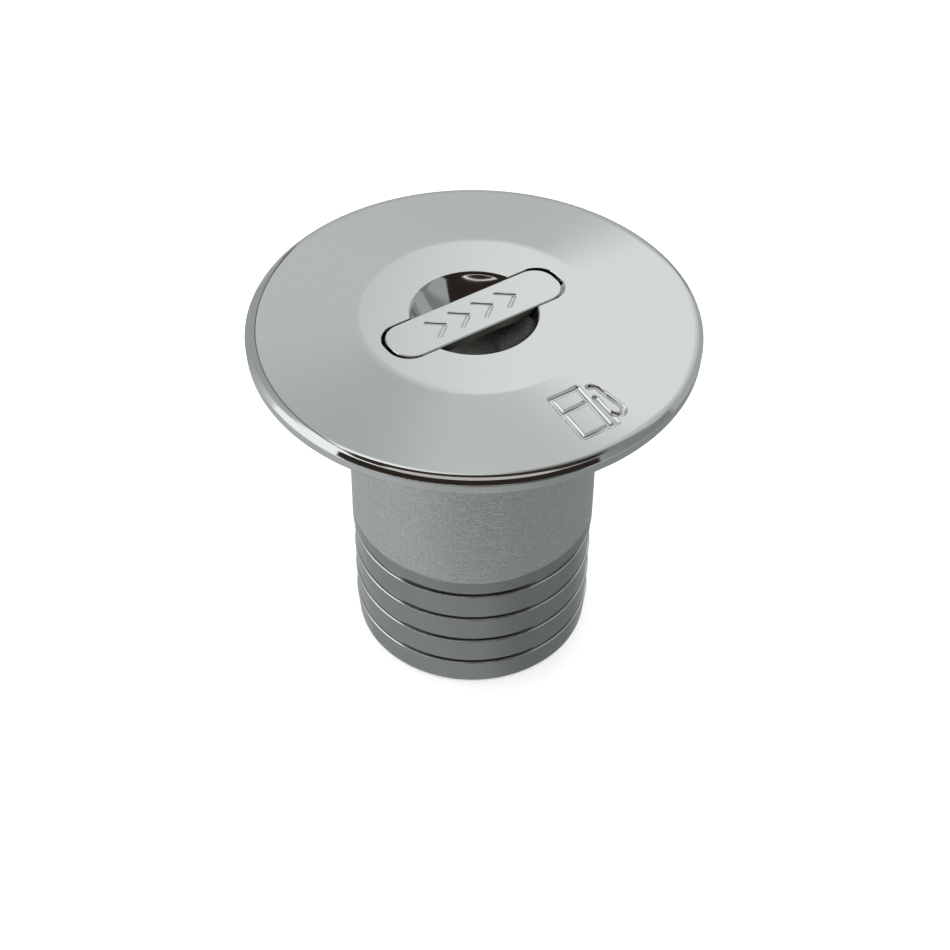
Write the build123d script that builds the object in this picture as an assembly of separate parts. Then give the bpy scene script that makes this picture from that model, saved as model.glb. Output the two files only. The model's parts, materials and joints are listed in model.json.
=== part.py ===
from build123d import *

import math
import os

# Keyless deck fill cap for a boat's fuel tank, for a 50 mm filler hose.
#
# Millimetres. The origin is the centre of the flange's underside, which is the deck's surface.
# +Z points up out of the deck and +X runs along the flush lever, away from its hinge.

# ---------------------------------------------------------------- driving dimensions

# How far a cut runs on past the face that it opens
CUT_RUN = 1.0

# Cap disc
CAP_RADIUS = 44.55
PLATEAU_RADIUS = 23.15
PLATEAU_Z = 5.68
PLATEAU_BLEND_RADIUS = 15.0
# The cone bends down to the rim, and the rim to its edge: (radius, z) and the rounding of each.
RIM_BEND = (43.33, 3.06)
RIM_BEND_ROUND = 7.0
RIM_EDGE_Z = 2.44
RIM_EDGE_ROUND = 0.25
HUB_RADIUS = 22.3
HUB_BOTTOM_Z = -3.5
BOWL_RADIUS = 12.6
BOWL_DEPTH = 7.0

# Deck flange and neck
FLANGE_RADIUS = 44.45
FLANGE_RIM_Z = 2.10
FLANGE_PAD_Z = 2.95
FLANGE_PAD_RADIUS = 36.2
FLANGE_SLOPE_RADIUS = 40.3
FLANGE_EDGE_ROUND = 0.3
FLANGE_ROOT_ROUND = 2.0
COVER_GAP = 0.15
NECK_RADIUS = 25.33
NECK_BOTTOM_Z = -75.55
PASSAGE_RADIUS = 21.5
PASSAGE_TOP_Z = -18.2
PASSAGE_MOUTH_CHAMFER = 0.6
SCREW_CIRCLE_RADIUS = 32.0
SCREW_HOLE_RADIUS = 2.7
SCREW_SINK_RADIUS = 4.95
SCREW_SINK_DEPTH = 2.0
SCREW_ANGLES = (90, 210, 330)

# Hose ribs: the ledge of each rib, from the top down
RIB_LEDGES_Z = (-48.5, -55.4, -62.1, -68.9)
RIB_CREST_RADIUS = 25.15
RIB_ROOT_RADIUS = 24.85
RIB_GROOVE_RADIUS = 24.5
RIB_GROOVE_WIDTH = 0.55
RIB_GROOVE_LIP = 0.1
RIB_EDGE_ROUND = 0.28
RIB_LEAD_IN_HEIGHT = 1.6
SPIGOT_END_RADIUS = 24.1
SPIGOT_END_CHAMFER = (0.55, 0.8)

# Thread between the plug and the neck
PITCH = 3.0
FEMALE_ROOT_RADIUS = 23.0
FEMALE_CREST_RADIUS = 21.75
FEMALE_TURNS = 3.0
MALE_ROOT_RADIUS = 21.5
MALE_CREST_RADIUS = 22.75
MALE_TURNS = 2.1
MALE_START_Z = -13.6
RIDGE_ROOT_WIDTH = 1.5
RIDGE_CREST_WIDTH = 0.7
RIDGE_SINK = 0.2
FEMALE_THREAD_BOTTOM_Z = -16.7
# The turned cores' seams are kept away from the threads' starts.
CORE_SEAM_ANGLE = 135

# Threaded plug
GASKET_THICKNESS = 0.5
GASKET_INNER_RADIUS = 18.0
GASKET_INNER_GAP = 0.2
GASKET_OUTER_INSET = 0.1
PLUG_PLATE_Z = -7.0
PLUG_BOTTOM_Z = -15.0
PLUG_INNER_RADIUS = 18.2
PLUG_FLOOR_ROUND = 1.0
PLUG_END_CHAMFER = 0.5
PLUG_BOSS_RADIUS = 5.0
PLUG_BOSS_Z = -8.5
PLUG_SCREW_CIRCLE = 15.5
PLUG_SCREW_ANGLES = (45, 135, 225, 315)
PLUG_SCREW_RADIUS = 2.0
PLUG_SCREW_HEAD_RADIUS = 4.0
PLUG_SCREW_HEAD_LAND = 0.2
PLUG_SCREW_TOP_Z = 1.5
PLUG_SCREW_TIP_GAP = 0.5
PLUG_SCREW_SLOT_HALF_LENGTH = 2.4
PLUG_SCREW_SLOT_HALF_WIDTH = 0.45
PLUG_SCREW_SLOT_DEPTH = 1.1

# Cap seal
SEAL_SECTION_RADIUS = 1.3
SEAL_CLEARANCE = 0.1

# Lever and its slot
LEVER_HALF_LENGTH = 19.25
LEVER_HALF_WIDTH = 5.1
LEVER_CORNER_RADIUS = 4.4
LEVER_THICKNESS = 2.0
LEVER_EDGE_ROUND = 0.3
LEVER_BOTTOM_CHAMFER = 0.25
SLOT_HALF_LENGTH = 20.0
SLOT_HALF_WIDTH = 5.35
SLOT_CORNER_RADIUS = 4.6
SLOT_FLOOR_GAP = 0.25
SLOT_LIP_DEPTH = 1.2
PIN_X = -14.3
PIN_DEPTH = 2.1
PIN_RADIUS = 1.25
PIN_HALF_LENGTH = 8.0
PIN_CLEARANCE = 0.05
PIN_END_GAP = 0.2
BARREL_RADIUS = 2.2
BARREL_HALF_LENGTH = 4.9
POCKET_RIGHT_X = -11.75
SPRING_POCKET_RIGHT_X = -9.9
SPRING_POCKET_HALF_WIDTH = 3.2
SPRING_POCKET_TOP_Z = 1.0
KEEPER_TOP_Z = -1.9
KEEPER_STEP_Z = -0.75
KEEPER_GAP = 0.15
KEEPER_STEP_OVERLAP = 0.6
KEEPER_POST_GAP = 0.3
SPRING_THICKNESS = 0.3
SPRING_HALF_WIDTH = 2.8
SPRING_BEND_RADIUS = 1.2
SPRING_BEND_X = -11.65
SPRING_TIP_X = -13.8
SPRING_TIP_GAP = 0.1
SPRING_END_GAP = 0.2

# Chain swivel below the plug, and the chain's anchor in the neck
STUD_TOP_Z = -4.7
STUD_HOLE_TOP_Z = -4.3
STUD_SHANK_RADIUS = 2.0
STUD_SHOULDER_RADIUS = 2.5
STUD_HEAD_RADIUS = 4.0
STUD_HEAD_ROUND = 0.5
STUD_SLOT_HALF_WIDTH = 0.5
STUD_SLOT_DEPTH = 0.9
LOCK_WASHER_RADIUS = 3.6
LOCK_WASHER_HOLE_RADIUS = 2.1
LOCK_WASHER_THICKNESS = 0.8
SHOULDER_BOTTOM_Z = -12.1
STUD_HEAD_BOTTOM_Z = -13.9
SWIVEL_HOLE_RADIUS = 2.56
SWIVEL_EYE_RADIUS = 4.6
SWIVEL_EYE_TOP_Z = -9.6
SWIVEL_EYE_THICKNESS = 1.5
SWIVEL_BEND_ROUND = 1.2
SWIVEL_TAB_ROUND = 2.0
SWIVEL_WASHER_RADIUS = 3.9
SWIVEL_WASHER_HOLE_RADIUS = 2.6
SWIVEL_WASHER_THICKNESS = 0.8
SWIVEL_TAB_X = 7.0
SWIVEL_TAB_BOTTOM_Z = -17.2
SWIVEL_TAB_HALF_WIDTH = 2.6
SWIVEL_RING_HOLE_Z = -15.0
RING_RADIUS = 4.5
RING_WIRE_RADIUS = 0.7
RING_HOLE_RADIUS = 1.3
LUG_HOLE_X = -18.5
LUG_HOLE_Z = -24.5
LUG_HALF_WIDTH = 1.5
LUG_REACH = 2.6
LUG_SINK = 0.5

# Engraving
SIGN_GROOVE = 1.4
SIGN_DEPTH = 0.45
SIGN_LEFT, SIGN_RIGHT = -2.05, 4.0
SIGN_TOP, SIGN_WINDOW, SIGN_BOTTOM = -28.2, -32.1, -38.7
SIGN_HOSE_X, SIGN_HOSE_TOP = 5.55, -31.9
SIGN_NOZZLE = (
    (6.0, -29.1),
    (6.9, -29.4),
    (7.5, -30.3),
    (8.9, -35.7),
    (8.6, -36.8),
    (7.7, -37.3),
    (6.7, -37.1),
    (6.2, -36.5),
)
MARK_CENTRES_X = (-8.1, -2.7, 2.7, 8.1)
MARK_HALF_LENGTH = 1.5
MARK_HALF_WIDTH = 2.4
MARK_GROOVE = 0.9
MARK_DEPTH = 0.3

# ---------------------------------------------------------------- values worked out from them

PIN_Z = PLATEAU_Z - PIN_DEPTH
LEVER_BOTTOM_Z = PLATEAU_Z - LEVER_THICKNESS
COVER_FACE_Z = FLANGE_PAD_Z + COVER_GAP
RIM_SEAM_Z = FLANGE_RIM_Z + COVER_GAP
SEAL_CENTRE_RADIUS = HUB_RADIUS + SEAL_SECTION_RADIUS
SEAL_CENTRE_Z = COVER_FACE_Z - SEAL_SECTION_RADIUS
# The 45 degree seat keeps SEAL_CLEARANCE from the seal: radius minus height is the same all along it.
SEAT_OFFSET = SEAL_CENTRE_RADIUS - SEAL_CENTRE_Z + (SEAL_SECTION_RADIUS + SEAL_CLEARANCE) * math.sqrt(2)
BOWL_SPHERE_RADIUS = (BOWL_RADIUS**2 + BOWL_DEPTH**2) / (2 * BOWL_DEPTH)
BOWL_CENTRE_Z = PLATEAU_Z - BOWL_DEPTH + BOWL_SPHERE_RADIUS


# ---------------------------------------------------------------- helpers

def turned(points, rounds=()):
    """Solid of revolution about Z from (radius, z) points, with some corners rounded."""
    face = make_face(Polyline([(r, z) for r, z in points], close=True))
    for corner, radius in rounds:
        vertex = face.vertices().sort_by_distance((corner[0], corner[1], 0))[0]
        face = fillet(vertex, radius)
    return revolve(Plane.XZ * face, Axis.Z)


def box_between(low, high):
    """Box from its lowest to its highest corner."""
    size = [h - l for l, h in zip(low, high)]
    centre = [(h + l) / 2 for l, h in zip(low, high)]
    return Pos(*centre) * Box(*size)


def rod(radius, low_z, high_z, x=0.0, y=0.0):
    """Upright cylinder."""
    return Pos(x, y, (low_z + high_z) / 2) * Cylinder(radius, high_z - low_z)


def rod_along_y(radius, half_length, x, z):
    """Cylinder along Y, centred on the XZ plane."""
    return Pos(x, 0, z) * Rot(90, 0, 0) * Cylinder(radius, 2 * half_length)


def rounded_bar(half_length, half_width, corner, low_z, high_z):
    """Upright prism with a rounded rectangle's outline, long along X."""
    outline = RectangleRounded(2 * half_length, 2 * half_width, corner)
    return Pos(0, 0, low_z) * extrude(outline, high_z - low_z)


def thread_ridge(root_radius, crest_radius, start_z, turns):
    """Right-hand ridge that winds up from start_z, sunk a little into the wall that carries it."""
    inward = -1 if crest_radius < root_radius else 1
    sunk_radius = root_radius - inward * RIDGE_SINK
    section = Polyline(
        [
            (sunk_radius, start_z - RIDGE_ROOT_WIDTH / 2),
            (root_radius, start_z - RIDGE_ROOT_WIDTH / 2),
            (crest_radius, start_z - RIDGE_CREST_WIDTH / 2),
            (crest_radius, start_z + RIDGE_CREST_WIDTH / 2),
            (root_radius, start_z + RIDGE_ROOT_WIDTH / 2),
            (sunk_radius, start_z + RIDGE_ROOT_WIDTH / 2),
        ],
        close=True,
    )
    path = Pos(0, 0, start_z) * Helix(PITCH, PITCH * turns, (root_radius + crest_radius) / 2)
    return sweep(Plane.XZ * make_face(section), path, is_frenet=True)


def strip(points, thickness, half_width):
    """Bent strip: a line of (x, z) points given a thickness, and a width along Y."""
    line = offset(FilletPolyline(*points, radius=SPRING_BEND_RADIUS), thickness / 2, side=Side.BOTH)
    return extrude(Plane.XZ * make_face(line), half_width, both=True)


def grooves(lines, width):
    """Flat outline of engraved strokes: each line is a list of points, with round ends."""
    outline = Sketch()
    for line in lines:
        for start, end in zip(line, line[1:]):
            run = math.hypot(end[0] - start[0], end[1] - start[1])
            turn = math.degrees(math.atan2(end[1] - start[1], end[0] - start[0]))
            middle = ((start[0] + end[0]) / 2, (start[1] + end[1]) / 2)
            outline += Pos(*middle) * Rot(0, 0, turn) * SlotCenterToCenter(run, width)
    return outline


def split_ring(centre, axis_turn):
    """Round wire ring about a centre, its axis turned from Z."""
    return Pos(*centre) * Rot(*axis_turn) * Torus(RING_RADIUS, RING_WIRE_RADIUS)


# ---------------------------------------------------------------- neck and flange

def rib_profile():
    """(radius, z) points of the hose ribs' outer face, from the top down."""
    points = [(NECK_RADIUS, RIB_LEDGES_Z[0] + RIB_LEAD_IN_HEIGHT)]
    for ledge in RIB_LEDGES_Z:
        points.append((RIB_ROOT_RADIUS, ledge + RIB_GROOVE_WIDTH + RIB_GROOVE_LIP))
        points.append((RIB_GROOVE_RADIUS, ledge + RIB_GROOVE_WIDTH))
        points.append((RIB_GROOVE_RADIUS, ledge))
        points.append((RIB_CREST_RADIUS, ledge))
    chamfer_width, chamfer_height = SPIGOT_END_CHAMFER
    points.append((SPIGOT_END_RADIUS + chamfer_width, NECK_BOTTOM_Z + chamfer_height))
    points.append((SPIGOT_END_RADIUS, NECK_BOTTOM_Z))
    return points


def make_neck_body():
    seat_z = FEMALE_ROOT_RADIUS - SEAT_OFFSET
    outside = [
        (SEAT_OFFSET + FLANGE_PAD_Z, FLANGE_PAD_Z),
        (FLANGE_PAD_RADIUS, FLANGE_PAD_Z),
        (FLANGE_SLOPE_RADIUS, FLANGE_RIM_Z),
        (FLANGE_RADIUS, FLANGE_RIM_Z),
        (FLANGE_RADIUS, 0),
        (NECK_RADIUS, 0),
    ]
    inside = [
        (PASSAGE_RADIUS + PASSAGE_MOUTH_CHAMFER, NECK_BOTTOM_Z),
        (PASSAGE_RADIUS, NECK_BOTTOM_Z + PASSAGE_MOUTH_CHAMFER),
        (PASSAGE_RADIUS, PASSAGE_TOP_Z),
        (FEMALE_ROOT_RADIUS, FEMALE_THREAD_BOTTOM_Z),
        (FEMALE_ROOT_RADIUS, seat_z),
    ]
    rounds = [
        ((FLANGE_RADIUS, FLANGE_RIM_Z), FLANGE_EDGE_ROUND),
        ((FLANGE_RADIUS, 0), FLANGE_EDGE_ROUND),
        ((NECK_RADIUS, 0), FLANGE_ROOT_ROUND),
    ]
    rounds += [((RIB_CREST_RADIUS, ledge), RIB_EDGE_ROUND) for ledge in RIB_LEDGES_Z]
    body = Rot(0, 0, CORE_SEAM_ANGLE) * turned(outside + rib_profile() + inside, rounds)
    # Each screw hole is countersunk, and the countersink's cone runs on a little above the pad.
    screw_hole = turned(
        [
            (0, -CUT_RUN),
            (SCREW_HOLE_RADIUS, -CUT_RUN),
            (SCREW_HOLE_RADIUS, FLANGE_PAD_Z - SCREW_SINK_DEPTH),
            (SCREW_SINK_RADIUS, FLANGE_PAD_Z + COVER_GAP),
            (0, FLANGE_PAD_Z + COVER_GAP),
        ]
    )
    for angle in SCREW_ANGLES:
        body -= Rot(0, 0, angle) * Pos(SCREW_CIRCLE_RADIUS, 0, 0) * screw_hole
    female_start = MALE_START_Z - PITCH / 2
    body += thread_ridge(FEMALE_ROOT_RADIUS, FEMALE_CREST_RADIUS, female_start, FEMALE_TURNS)
    lug = box_between(
        (-PASSAGE_RADIUS - LUG_SINK, -LUG_HALF_WIDTH, LUG_HOLE_Z - LUG_REACH),
        (LUG_HOLE_X + LUG_REACH, LUG_HALF_WIDTH, LUG_HOLE_Z + LUG_REACH),
    )
    body += lug
    body -= rod_along_y(RING_HOLE_RADIUS, LUG_HALF_WIDTH + CUT_RUN, LUG_HOLE_X, LUG_HOLE_Z)
    return body


def make_anchor_ring():
    return split_ring((LUG_HOLE_X, 0, LUG_HOLE_Z - RING_RADIUS), (0, 90, 0))


# ---------------------------------------------------------------- cap

def make_pump_sign():
    """Fuel pump pictogram, flat, seen from above with its top towards the cap's centre."""
    top_left = (SIGN_LEFT, SIGN_TOP)
    bottom_right = (SIGN_RIGHT, SIGN_BOTTOM)
    body = [top_left, (SIGN_RIGHT, SIGN_TOP), bottom_right, (SIGN_LEFT, SIGN_BOTTOM), top_left]
    window = [(SIGN_LEFT, SIGN_WINDOW), (SIGN_RIGHT, SIGN_WINDOW)]
    hose = [(SIGN_HOSE_X, SIGN_HOSE_TOP), (SIGN_HOSE_X, SIGN_BOTTOM), bottom_right]
    return grooves([body, window, hose, SIGN_NOZZLE], SIGN_GROOVE)


def make_lever_pocket():
    """The space below the lever's hinge: its swing, the pin's grooves and the spring's place."""
    swing = box_between(
        (-SLOT_HALF_LENGTH, -SLOT_HALF_WIDTH, HUB_BOTTOM_Z - CUT_RUN),
        (POCKET_RIGHT_X, SLOT_HALF_WIDTH, PLATEAU_Z - SLOT_LIP_DEPTH),
    )
    spring_place = box_between(
        (POCKET_RIGHT_X - CUT_RUN, -SPRING_POCKET_HALF_WIDTH, HUB_BOTTOM_Z - CUT_RUN),
        (SPRING_POCKET_RIGHT_X, SPRING_POCKET_HALF_WIDTH, SPRING_POCKET_TOP_Z),
    )
    groove_radius = PIN_RADIUS + PIN_CLEARANCE
    groove_reach = PIN_HALF_LENGTH + PIN_END_GAP
    pin_groove = box_between(
        (PIN_X - groove_radius, -groove_reach, HUB_BOTTOM_Z - CUT_RUN),
        (PIN_X + groove_radius, groove_reach, PIN_Z),
    )
    pin_groove += rod_along_y(groove_radius, groove_reach, PIN_X, PIN_Z)
    return swing + spring_place + pin_groove


def make_cover_disc():
    profile = [
        (0, PLATEAU_Z),
        (PLATEAU_RADIUS, PLATEAU_Z),
        RIM_BEND,
        (CAP_RADIUS, RIM_EDGE_Z),
        (CAP_RADIUS, RIM_SEAM_Z),
        (FLANGE_SLOPE_RADIUS, RIM_SEAM_Z),
        (FLANGE_PAD_RADIUS, COVER_FACE_Z),
        (HUB_RADIUS, COVER_FACE_Z),
        (HUB_RADIUS, HUB_BOTTOM_Z),
        (0, HUB_BOTTOM_Z),
    ]
    rounds = [
        ((PLATEAU_RADIUS, PLATEAU_Z), PLATEAU_BLEND_RADIUS),
        (RIM_BEND, RIM_BEND_ROUND),
        ((CAP_RADIUS, RIM_EDGE_Z), RIM_EDGE_ROUND),
    ]
    cover = turned(profile, rounds)
    cover -= Pos(0, 0, BOWL_CENTRE_Z) * Sphere(BOWL_SPHERE_RADIUS)
    slot_floor = LEVER_BOTTOM_Z - SLOT_FLOOR_GAP
    above = PLATEAU_Z + CUT_RUN
    cover -= rounded_bar(SLOT_HALF_LENGTH, SLOT_HALF_WIDTH, SLOT_CORNER_RADIUS, slot_floor, above)
    cover -= make_lever_pocket()
    screw_hole = rod(
        PLUG_SCREW_RADIUS + PIN_CLEARANCE,
        HUB_BOTTOM_Z - CUT_RUN,
        PLUG_SCREW_TOP_Z + PLUG_SCREW_TIP_GAP,
        x=PLUG_SCREW_CIRCLE,
    )
    for angle in PLUG_SCREW_ANGLES:
        cover -= Rot(0, 0, angle) * screw_hole
    # The sign's grooves follow the cone: their floor is the cone lowered by the groove's depth.
    bend_radius, bend_z = RIM_BEND
    lowered = turned(
        [
            (PLATEAU_RADIUS, PLATEAU_Z - SIGN_DEPTH),
            (bend_radius, bend_z - SIGN_DEPTH),
            (bend_radius, above),
            (PLATEAU_RADIUS, above),
        ]
    )
    cover -= extrude(make_pump_sign(), above) & lowered
    return cover


def make_threaded_plug():
    plug = Rot(0, 0, CORE_SEAM_ANGLE) * turned(
        [
            (0, HUB_BOTTOM_Z),
            (GASKET_INNER_RADIUS - GASKET_INNER_GAP, HUB_BOTTOM_Z),
            (GASKET_INNER_RADIUS - GASKET_INNER_GAP, HUB_BOTTOM_Z - GASKET_THICKNESS),
            (MALE_ROOT_RADIUS, HUB_BOTTOM_Z - GASKET_THICKNESS),
            (MALE_ROOT_RADIUS, PLUG_BOTTOM_Z + PLUG_END_CHAMFER),
            (MALE_ROOT_RADIUS - PLUG_END_CHAMFER, PLUG_BOTTOM_Z),
            (PLUG_INNER_RADIUS, PLUG_BOTTOM_Z),
            (PLUG_INNER_RADIUS, PLUG_PLATE_Z),
            (PLUG_BOSS_RADIUS, PLUG_PLATE_Z),
            (PLUG_BOSS_RADIUS, PLUG_BOSS_Z),
            (0, PLUG_BOSS_Z),
        ],
        [((PLUG_INNER_RADIUS, PLUG_PLATE_Z), PLUG_FLOOR_ROUND)],
    )
    plug += thread_ridge(MALE_ROOT_RADIUS, MALE_CREST_RADIUS, MALE_START_Z, MALE_TURNS)
    plug -= rod(STUD_SHANK_RADIUS + PIN_CLEARANCE, PLUG_BOSS_Z - CUT_RUN, STUD_HOLE_TOP_Z)
    for angle in PLUG_SCREW_ANGLES:
        plug -= Rot(0, 0, angle) * Pos(PLUG_SCREW_CIRCLE, 0, 0) * make_plug_screw_shape(PIN_CLEARANCE)
    return plug


def make_plug_screw_shape(grow):
    """One countersunk screw, head down, upright on the Z axis, grown by a clearance."""
    land_z = PLUG_PLATE_Z + PLUG_SCREW_HEAD_LAND
    neck_z = land_z + PLUG_SCREW_HEAD_RADIUS - PLUG_SCREW_RADIUS
    return turned(
        [
            (0, PLUG_PLATE_Z - grow),
            (PLUG_SCREW_HEAD_RADIUS + grow, PLUG_PLATE_Z - grow),
            (PLUG_SCREW_HEAD_RADIUS + grow, land_z),
            (PLUG_SCREW_RADIUS + grow, neck_z),
            (PLUG_SCREW_RADIUS + grow, PLUG_SCREW_TOP_Z),
            (0, PLUG_SCREW_TOP_Z),
        ]
    )


def make_plug_screws():
    """Four screws with cross slots in their heads."""
    slot = box_between(
        (-PLUG_SCREW_SLOT_HALF_LENGTH, -PLUG_SCREW_SLOT_HALF_WIDTH, PLUG_PLATE_Z - CUT_RUN),
        (PLUG_SCREW_SLOT_HALF_LENGTH, PLUG_SCREW_SLOT_HALF_WIDTH, PLUG_PLATE_Z + PLUG_SCREW_SLOT_DEPTH),
    )
    screw = make_plug_screw_shape(0) - slot - Rot(0, 0, 90) * slot
    placed = [Rot(0, 0, angle) * Pos(PLUG_SCREW_CIRCLE, 0, 0) * screw for angle in PLUG_SCREW_ANGLES]
    return Compound(children=placed)


def make_cap_seal():
    return Pos(0, 0, SEAL_CENTRE_Z) * Torus(SEAL_CENTRE_RADIUS, SEAL_SECTION_RADIUS)


def make_plug_gasket():
    return turned(
        [
            (GASKET_INNER_RADIUS, HUB_BOTTOM_Z),
            (MALE_ROOT_RADIUS - GASKET_OUTER_INSET, HUB_BOTTOM_Z),
            (MALE_ROOT_RADIUS - GASKET_OUTER_INSET, HUB_BOTTOM_Z - GASKET_THICKNESS),
            (GASKET_INNER_RADIUS, HUB_BOTTOM_Z - GASKET_THICKNESS),
        ]
    )


# ---------------------------------------------------------------- lever and hinge

def make_lever_bar():
    bar = rounded_bar(LEVER_HALF_LENGTH, LEVER_HALF_WIDTH, LEVER_CORNER_RADIUS, LEVER_BOTTOM_Z, PLATEAU_Z)
    bar = fillet(bar.edges().group_by(Axis.Z)[-1], LEVER_EDGE_ROUND)
    bar = chamfer(bar.edges().group_by(Axis.Z)[0], LEVER_BOTTOM_CHAMFER)
    below_top = box_between(
        (-LEVER_HALF_LENGTH, -LEVER_HALF_WIDTH, 0),
        (0, LEVER_HALF_WIDTH, PLATEAU_Z - LEVER_EDGE_ROUND),
    )
    bar += rod_along_y(BARREL_RADIUS, BARREL_HALF_LENGTH, PIN_X, PIN_Z) & below_top
    bar -= rod_along_y(PIN_RADIUS + PIN_CLEARANCE, LEVER_HALF_WIDTH + CUT_RUN, PIN_X, PIN_Z)
    marks = []
    for centre in MARK_CENTRES_X:
        back, tip = centre - MARK_HALF_LENGTH, centre + MARK_HALF_LENGTH
        marks.append([(back, MARK_HALF_WIDTH), (tip, 0), (back, -MARK_HALF_WIDTH)])
    bar -= Pos(0, 0, PLATEAU_Z - MARK_DEPTH) * extrude(grooves(marks, MARK_GROOVE), CUT_RUN)
    return bar


def make_lever_pin():
    return rod_along_y(PIN_RADIUS, PIN_HALF_LENGTH, PIN_X, PIN_Z)


def make_pin_keeper():
    low_x = -SLOT_HALF_LENGTH + KEEPER_GAP
    high_x = SPRING_POCKET_RIGHT_X - KEEPER_GAP
    half_width = SLOT_HALF_WIDTH - KEEPER_GAP
    step_half_width = SPRING_POCKET_HALF_WIDTH - KEEPER_GAP
    post_radius = PIN_RADIUS - KEEPER_GAP
    keeper = box_between(
        (low_x, -half_width, HUB_BOTTOM_Z),
        (POCKET_RIGHT_X - KEEPER_GAP, half_width, KEEPER_TOP_Z),
    )
    keeper += box_between(
        (POCKET_RIGHT_X - KEEPER_STEP_OVERLAP, -step_half_width, HUB_BOTTOM_Z),
        (high_x, step_half_width, KEEPER_STEP_Z),
    )
    for side in (-1, 1):
        near, far = sorted((side * (half_width + KEEPER_POST_GAP), side * PIN_HALF_LENGTH))
        post = box_between((PIN_X - post_radius, near, HUB_BOTTOM_Z), (PIN_X + post_radius, far, PIN_Z))
        foot = box_between(
            (PIN_X - post_radius, min(0, side * PIN_HALF_LENGTH), HUB_BOTTOM_Z),
            (PIN_X + post_radius, max(0, side * PIN_HALF_LENGTH), KEEPER_TOP_Z),
        )
        keeper += post + foot
    return keeper - rod_along_y(PIN_RADIUS, PIN_HALF_LENGTH + CUT_RUN, PIN_X, PIN_Z)


def make_lever_spring():
    half = SPRING_THICKNESS / 2
    tip = (SPRING_TIP_X, PIN_Z - BARREL_RADIUS - SPRING_TIP_GAP - half)
    foot_z = KEEPER_STEP_Z + half
    foot_end = (SPRING_POCKET_RIGHT_X - KEEPER_GAP - SPRING_END_GAP, foot_z)
    return strip([tip, (SPRING_BEND_X, foot_z), foot_end], SPRING_THICKNESS, SPRING_HALF_WIDTH)


# ---------------------------------------------------------------- chain swivel

def make_swivel_stud():
    stud = turned(
        [
            (0, STUD_TOP_Z),
            (STUD_SHANK_RADIUS, STUD_TOP_Z),
            (STUD_SHANK_RADIUS, PLUG_BOSS_Z - LOCK_WASHER_THICKNESS),
            (STUD_SHOULDER_RADIUS, PLUG_BOSS_Z - LOCK_WASHER_THICKNESS),
            (STUD_SHOULDER_RADIUS, SHOULDER_BOTTOM_Z),
            (STUD_HEAD_RADIUS, SHOULDER_BOTTOM_Z),
            (STUD_HEAD_RADIUS, STUD_HEAD_BOTTOM_Z),
            (0, STUD_HEAD_BOTTOM_Z),
        ],
        [((STUD_HEAD_RADIUS, STUD_HEAD_BOTTOM_Z), STUD_HEAD_ROUND)],
    )
    slot_reach = STUD_HEAD_RADIUS + CUT_RUN
    slot = box_between(
        (-slot_reach, -STUD_SLOT_HALF_WIDTH, STUD_HEAD_BOTTOM_Z - CUT_RUN),
        (slot_reach, STUD_SLOT_HALF_WIDTH, STUD_HEAD_BOTTOM_Z + STUD_SLOT_DEPTH),
    )
    return stud - slot


def make_stud_lock_washer():
    bottom = PLUG_BOSS_Z - LOCK_WASHER_THICKNESS
    hole = rod(LOCK_WASHER_HOLE_RADIUS, bottom - CUT_RUN, PLUG_BOSS_Z + CUT_RUN)
    return rod(LOCK_WASHER_RADIUS, bottom, PLUG_BOSS_Z) - hole


def make_swivel_eye():
    bottom = SWIVEL_EYE_TOP_Z - SWIVEL_EYE_THICKNESS
    eye = rod(SWIVEL_EYE_RADIUS, bottom, SWIVEL_EYE_TOP_Z)
    eye += box_between(
        (0, -SWIVEL_TAB_HALF_WIDTH, bottom), (SWIVEL_TAB_X, SWIVEL_TAB_HALF_WIDTH, SWIVEL_EYE_TOP_Z)
    )
    tab_low = (SWIVEL_TAB_X, -SWIVEL_TAB_HALF_WIDTH, SWIVEL_TAB_BOTTOM_Z)
    tab_high = (SWIVEL_TAB_X + SWIVEL_EYE_THICKNESS, SWIVEL_TAB_HALF_WIDTH, SWIVEL_EYE_TOP_Z)
    eye += box_between(tab_low, tab_high)
    corner = eye.edges().filter_by(Axis.Y).group_by(Axis.X)[-1].group_by(Axis.Z)[-1]
    eye = fillet(corner, SWIVEL_BEND_ROUND)
    tab_corners = eye.edges().filter_by(Axis.X).group_by(Axis.Z)[0]
    eye = fillet(tab_corners, SWIVEL_TAB_ROUND)
    eye -= rod(SWIVEL_HOLE_RADIUS, bottom - CUT_RUN, SWIVEL_EYE_TOP_Z + CUT_RUN)
    hole_length = 2 * (SWIVEL_EYE_THICKNESS + CUT_RUN)
    ring_hole = Rot(0, 90, 0) * Cylinder(RING_HOLE_RADIUS, hole_length)
    return eye - Pos(SWIVEL_TAB_X, 0, SWIVEL_RING_HOLE_Z) * ring_hole


def make_swivel_washer():
    top = SWIVEL_EYE_TOP_Z - SWIVEL_EYE_THICKNESS
    bottom = top - SWIVEL_WASHER_THICKNESS
    hole = rod(SWIVEL_WASHER_HOLE_RADIUS, bottom - CUT_RUN, top + CUT_RUN)
    return rod(SWIVEL_WASHER_RADIUS, bottom, top) - hole


def make_swivel_ring():
    middle_x = SWIVEL_TAB_X + SWIVEL_EYE_THICKNESS / 2
    return split_ring((middle_x, 0, SWIVEL_RING_HOLE_Z - RING_RADIUS), (90, 0, 0))


# ---------------------------------------------------------------- write every piece

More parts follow.
